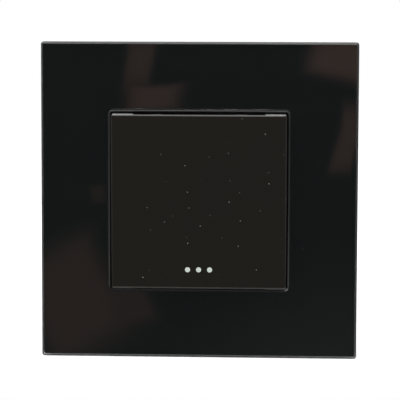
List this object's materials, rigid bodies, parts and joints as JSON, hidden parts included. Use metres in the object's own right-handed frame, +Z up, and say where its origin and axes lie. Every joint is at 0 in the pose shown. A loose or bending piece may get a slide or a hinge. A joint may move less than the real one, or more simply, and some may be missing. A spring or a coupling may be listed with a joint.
{
  "type": "two-way light switch",
  "caption": "Square black glass light switch: large rocker tilts on trunnions and flips a two-way contact lever behind a steel yoke.",
  "frame": {"origin": "centre of the plate on the wall plane", "axes": "+X right and +Z up as one faces the switch; +Y into the wall, so the front looks along -Y"},
  "size_m": [0.086, 0.0372, 0.086],
  "materials": {
    "black_glass": "glossy",
    "foam_tape": "matt",
    "frame_plastic": "satin",
    "bezel_plastic": "satin",
    "rocker_plastic": "satin",
    "luminous_plastic": "satin",
    "natural_plastic": "satin",
    "cover_plastic": "matt",
    "housing_plastic": "matt",
    "spring_steel": "bright",
    "plated_steel": "zinc plated",
    "copper_strip": "satin",
    "brass_strip": "satin",
    "silver_alloy": "satin"
  },
  "bodies": {
    "wall_module": {"yoke_plate": "plated_steel", "module_cover": "cover_plastic", "module_housing": "housing_plastic", "cover_screws": "plated_steel", "fixing_screws": "plated_steel", "frame_clips": "spring_steel", "com_strap": "brass_strip", "l1_strap": "brass_strip", "l2_strap": "brass_strip", "l1_contact": "silver_alloy", "l2_contact": "silver_alloy"},
    "front": {"glass_panel": "black_glass", "panel_tape": "foam_tape", "carrier_frame": "frame_plastic", "bezel_ring": "bezel_plastic"},
    "rocker": {"rocker_cap": "rocker_plastic", "dot_insert": "luminous_plastic", "seesaw": "natural_plastic", "plunger_spring": "spring_steel"},
    "plunger": {"plunger": "natural_plastic"},
    "lever": {"contact_lever": "copper_strip", "lever_tips": "silver_alloy"},
    "earth_saddle": {"earth_saddle": "brass_strip"},
    "earth_screw": {"earth_screw": "plated_steel"},
    "com_screw": {"com_screw": "plated_steel"},
    "com_cage": {"com_cage": "brass_strip"},
    "l1_screw": {"l1_screw": "plated_steel"},
    "l1_cage": {"l1_cage": "brass_strip"},
    "l2_screw": {"l2_screw": "plated_steel"},
    "l2_cage": {"l2_cage": "brass_strip"}
  },
  "joints": [
    {"name": "rocker_tilt", "type": "hinge", "parent": "wall_module", "child": "rocker", "pos_m": [0, -0.00675, 0], "axis": [-1, 0, 0], "range_deg": [0, 5.6]},
    {"name": "plunger_slide", "type": "slide", "parent": "rocker", "child": "plunger", "axis": [0, -0.9988, -0.0488], "range_m": [0, 0.0012], "stiffness_N_per_m": 1200, "springref_m": -0.0035, "deforming": ["plunger_spring"]},
    {"name": "lever_flip", "type": "hinge", "parent": "wall_module", "child": "lever", "pos_m": [0, 0.006, 0], "axis": [1, 0, 0], "range_deg": [0, 21.6]},
    {"name": "front_pull_off", "type": "slide", "parent": "wall_module", "child": "front", "axis": [0, -1, 0], "range_m": [0, 0.015]},
    {"name": "earth_saddle_clamp", "type": "slide", "parent": "wall_module", "child": "earth_saddle", "axis": [0, -1, 0], "range_m": [0, 0.0027]},
    {"name": "earth_screw_turn", "type": "hinge", "parent": "earth_saddle", "child": "earth_screw", "pos_m": [-0.01, 0, -0.0318], "axis": [0, -1, 0], "range_deg": [0, 1621]},
    {"name": "com_screw_turn", "type": "hinge", "parent": "wall_module", "child": "com_screw", "pos_m": [-0.012, 0.012, 0.01225], "axis": [0, -1, 0], "range_deg": [0, 2701]},
    {"name": "com_cage_rise", "type": "slide", "parent": "wall_module", "child": "com_cage", "axis": [0, 1, 0], "range_m": [0, 0.0045]},
    {"name": "l1_screw_turn", "type": "hinge", "parent": "wall_module", "child": "l1_screw", "pos_m": [0.012, 0.012, 0.01225], "axis": [0, -1, 0], "range_deg": [0, 2701]},
    {"name": "l1_cage_rise", "type": "slide", "parent": "wall_module", "child": "l1_cage", "axis": [0, 1, 0], "range_m": [0, 0.0045]},
    {"name": "l2_screw_turn", "type": "hinge", "parent": "wall_module", "child": "l2_screw", "pos_m": [0.012, 0.012, -0.01225], "axis": [0, -1, 0], "range_deg": [0, 2701]},
    {"name": "l2_cage_rise", "type": "slide", "parent": "wall_module", "child": "l2_cage", "axis": [0, 1, 0], "range_m": [0, 0.0045]}
  ],
  "couplings": [
    {"joint": "lever_flip", "follows": "rocker_tilt", "ratio": 3.857},
    {"joint": "earth_screw_turn", "follows": "earth_saddle_clamp", "rad_per_m": 10472},
    {"joint": "com_screw_turn", "follows": "com_cage_rise", "rad_per_m": 10472},
    {"joint": "l1_screw_turn", "follows": "l1_cage_rise", "rad_per_m": 10472},
    {"joint": "l2_screw_turn", "follows": "l2_cage_rise", "rad_per_m": 10472}
  ]
}
